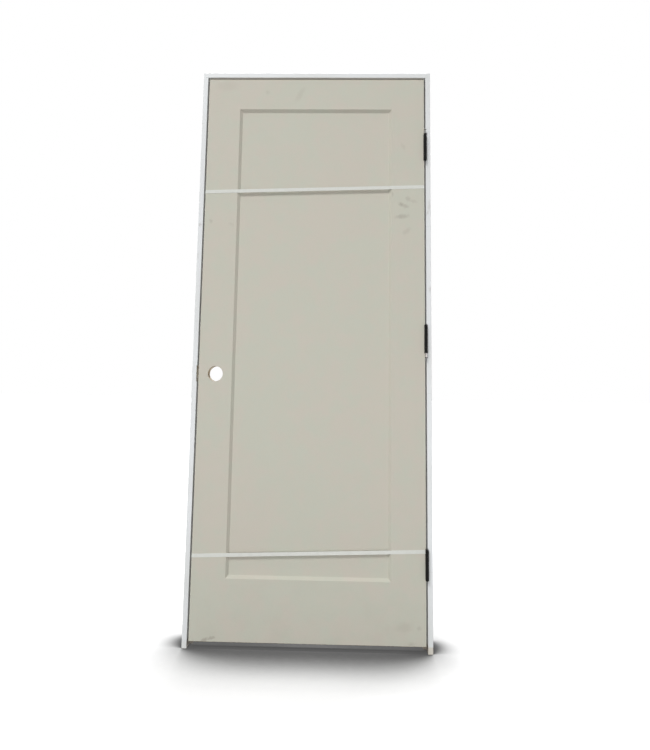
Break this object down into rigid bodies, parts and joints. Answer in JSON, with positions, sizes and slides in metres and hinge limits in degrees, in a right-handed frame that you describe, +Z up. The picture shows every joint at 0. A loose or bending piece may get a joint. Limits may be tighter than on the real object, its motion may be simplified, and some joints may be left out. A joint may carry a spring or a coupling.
{
  "type": "prehung interior door",
  "caption": "Prehung interior door: moulded one-panel leaf on butt hinges in a flat jamb set with stops, bored for a lockset, packing straps still on.",
  "frame": {"origin": "centre of the hinge jamb's outer face, where it is fastened to the wall", "axes": "+X towards the hinge side's wall, +Y from the pull side to the push side, +Z up"},
  "size_m": [0.8598, 0.1318, 2.0816],
  "materials": {
    "skin": "greige primer on moulded hardboard, eggshell",
    "core_wood": "bare softwood",
    "jamb": "cool white primer, satin",
    "stop": "cool white primer, satin",
    "hinge": "matt black",
    "hinge_pin": "matt black",
    "strap": "white packing strap"
  },
  "bodies": {
    "frame": {"hinge_jamb": "jamb", "strike_jamb": "jamb", "head_jamb": "jamb", "hinge_side_stop": "stop", "strike_side_stop": "stop", "head_stop": "stop", "upper_hinge_jamb_leaf": "hinge", "upper_hinge_pin": "hinge_pin", "middle_hinge_jamb_leaf": "hinge", "middle_hinge_pin": "hinge_pin", "lower_hinge_jamb_leaf": "hinge", "lower_hinge_pin": "hinge_pin"},
    "leaf": {"front_skin": "skin", "back_skin": "skin", "hinge_stile": "core_wood", "strike_stile": "core_wood", "top_rail": "core_wood", "bottom_rail": "core_wood", "lock_block": "core_wood", "upper_hinge_door_leaf": "hinge", "middle_hinge_door_leaf": "hinge", "lower_hinge_door_leaf": "hinge", "upper_strap": "strap", "lower_strap": "strap"}
  },
  "joints": [
    {"name": "leaf_swing", "type": "hinge", "parent": "frame", "child": "leaf", "pos_m": [-0.0205, -0.068, 0], "axis": [0, 0, 1], "range_deg": [0, 180]}
  ]
}
